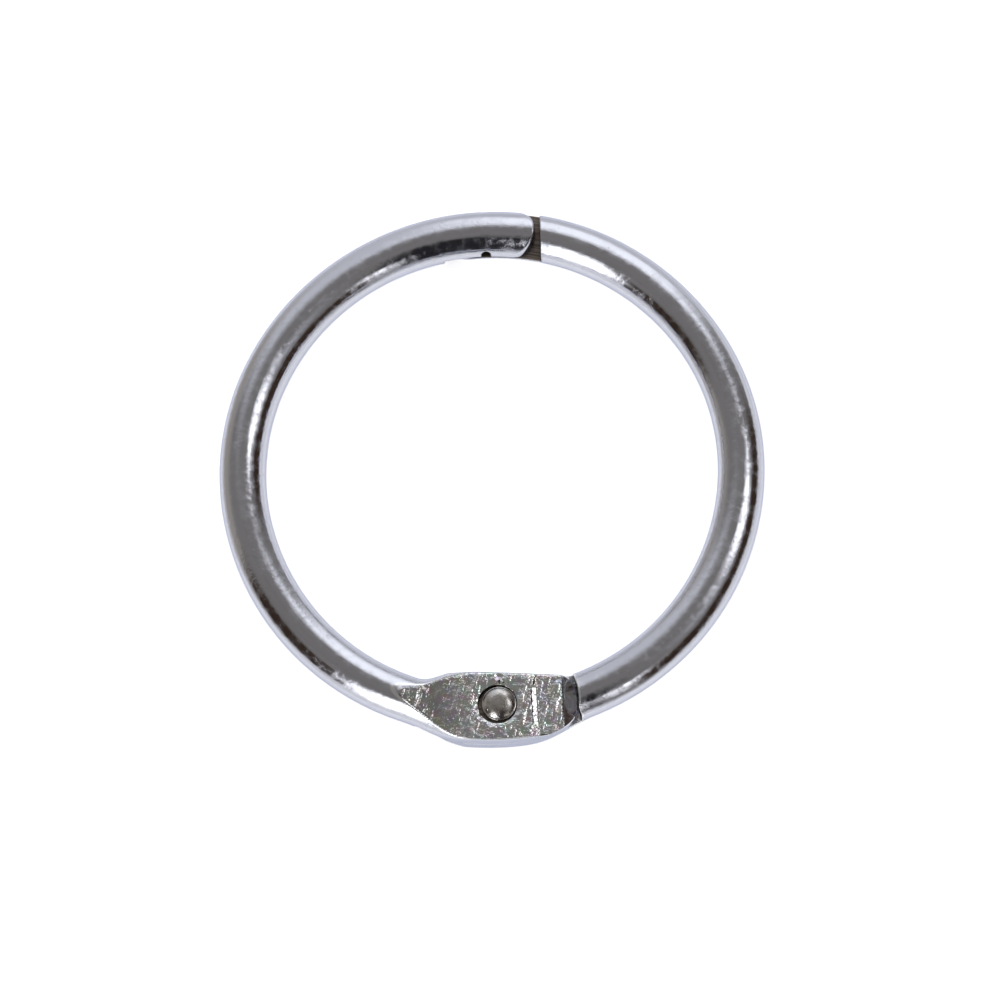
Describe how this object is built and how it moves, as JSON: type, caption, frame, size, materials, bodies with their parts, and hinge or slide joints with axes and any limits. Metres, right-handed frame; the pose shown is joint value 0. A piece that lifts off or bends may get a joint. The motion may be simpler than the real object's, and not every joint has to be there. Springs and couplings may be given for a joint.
{
  "type": "binder ring",
  "caption": "Hinged wire ring that opens on a riveted hinge of flattened tabs and closes with a half-lap snap clasp, to hold punched sheets, cards or tags.",
  "frame": {"origin": "centre of the closed ring, on the parting plane between its two layers", "axes": "+Z out of the ring's plane on the side of the left half's tab, +X to the right with the hinge at -Y and the clasp at +Y"},
  "size_m": [0.0302, 0.0307, 0.0026],
  "materials": {
    "left_wire": "bright nickel plate over drawn steel wire, with a coined, grainy tab",
    "right_wire": "bright nickel plate over drawn steel wire, with a coined, grainy tab",
    "rivet": "bright nickel plate over a headed steel rivet"
  },
  "bodies": {
    "right_half": {"right_half_ring": "right_wire", "hinge_rivet": "rivet"},
    "left_half": {"left_half_ring": "left_wire"}
  },
  "joints": [
    {"name": "ring_hinge", "type": "hinge", "parent": "right_half", "child": "left_half", "pos_m": [0, -0.01355, 0], "axis": [0, 0, 1], "range_deg": [0, 157]}
  ]
}
